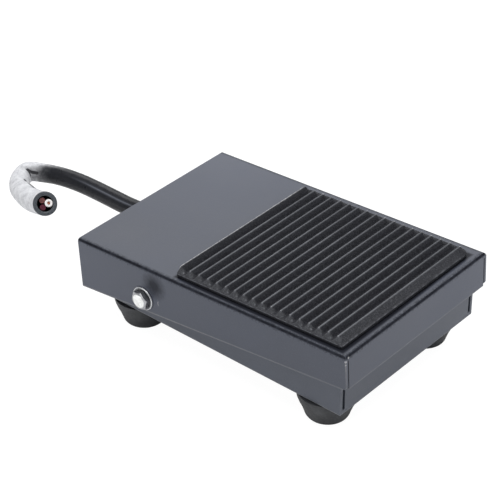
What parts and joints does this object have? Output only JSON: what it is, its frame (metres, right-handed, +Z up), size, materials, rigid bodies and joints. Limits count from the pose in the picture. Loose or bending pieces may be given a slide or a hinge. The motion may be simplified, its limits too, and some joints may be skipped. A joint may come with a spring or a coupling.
{
  "type": "foot pedal switch",
  "caption": "Momentary foot pedal switch: folded-steel rocking cover with ribbed tread pad over a steel tray on rubber feet, with pivot bolt, return spring, snap switch and short cut cable.",
  "frame": {"origin": "under the middle of the whole object's box, cable included, at floor level", "axes": "+Z up from the floor, +Y from the tread pad's end towards the cable, +X across, along the pivot bolt from its head to its nut"},
  "size_m": [0.072, 0.1568, 0.0347],
  "materials": {
    "powder_coat": "satin, fine texture",
    "tray_coat": "satin, fine texture",
    "pad_rubber": "matt, speckled",
    "grommet_rubber": "matt",
    "foot_rubber": "matt",
    "zinc_plate": "bright plated",
    "spring_steel": "bright drawn",
    "bracket_steel": "dull plated",
    "nylon": "natural",
    "switch_plastic": "moulded",
    "switch_lid_plastic": "moulded",
    "plunger_plastic": "moulded",
    "silvered_brass": "silvered",
    "insulating_card": "pressed fibre card",
    "adhesive": "foam tape",
    "cable_jacket": "soft PVC, glossy",
    "core_red": "soft PVC",
    "core_white": "soft PVC",
    "core_brown": "soft PVC",
    "copper": "bare copper strand"
  },
  "bodies": {
    "base": {"base_tray": "tray_coat", "bracket_screw_front": "zinc_plate", "bracket_screw_rear": "zinc_plate", "cable_grommet": "grommet_rubber", "cable_sheath": "cable_jacket", "cable_tie": "nylon", "copper_strand": "copper", "core_brown": "core_brown", "core_red": "core_red", "core_white": "core_white", "foot_front_left": "foot_rubber", "foot_front_right": "foot_rubber", "foot_nut_front_left": "zinc_plate", "foot_nut_front_right": "zinc_plate", "foot_nut_rear_left": "zinc_plate", "foot_nut_rear_right": "zinc_plate", "foot_rear_left": "foot_rubber", "foot_rear_right": "foot_rubber", "foot_screw_front_left": "zinc_plate", "foot_screw_front_right": "zinc_plate", "foot_screw_rear_left": "zinc_plate", "foot_screw_rear_right": "zinc_plate", "insulating_card": "insulating_card", "lever_pin": "zinc_plate", "pivot_bolt": "zinc_plate", "pivot_nut": "zinc_plate", "pivot_shim_left": "nylon", "pivot_shim_right": "nylon", "pivot_sleeve": "spring_steel", "pivot_washer_left": "zinc_plate", "pivot_washer_right": "zinc_plate", "return_spring": "spring_steel", "spring_post": "zinc_plate", "switch_bracket": "bracket_steel", "switch_case": "switch_plastic", "switch_lid": "switch_lid_plastic", "switch_nut_front": "zinc_plate", "switch_nut_rear": "zinc_plate", "switch_screw_front": "zinc_plate", "switch_screw_rear": "zinc_plate", "terminal_closed": "silvered_brass", "terminal_common": "silvered_brass", "terminal_open": "silvered_brass"},
    "pedal": {"pedal_cover": "powder_coat", "tread_pad": "pad_rubber", "adhesive_sheet": "adhesive", "striker_pad": "nylon", "spring_locator": "zinc_plate"},
    "lever": {"switch_lever": "spring_steel"},
    "plunger": {"switch_plunger": "plunger_plastic"},
    "blade": {"contact_blade": "silvered_brass"}
  },
  "joints": [
    {"name": "pedal_hinge", "type": "hinge", "parent": "base", "child": "pedal", "pos_m": [-0.0005, -0.00239, 0.0172], "axis": [1, 0, 0], "range_deg": [0, 4], "stiffness_Nm_per_rad": 1.17, "springref_deg": -8.48, "deforming": ["return_spring"]},
    {"name": "switch_lever_hinge", "type": "hinge", "parent": "base", "child": "lever", "pos_m": [-0.0005, -0.04754, 0.0248], "axis": [1, 0, 0], "range_deg": [-7.13, 0]},
    {"name": "switch_plunger_slide", "type": "slide", "parent": "base", "child": "plunger", "axis": [0, 0, -1], "range_m": [0, 0.00091]},
    {"name": "contact_blade_hinge", "type": "hinge", "parent": "base", "child": "blade", "pos_m": [-0.0005, -0.03074, 0.021], "axis": [1, 0, 0], "range_deg": [0, 5.41]}
  ],
  "couplings": [
    {"joint": "switch_lever_hinge", "follows": "pedal_hinge", "ratio": -1.78},
    {"joint": "switch_plunger_slide", "follows": "pedal_hinge", "m_per_rad": 0.01289},
    {"joint": "contact_blade_hinge", "follows": "pedal_hinge", "ratio": 1.35}
  ]
}
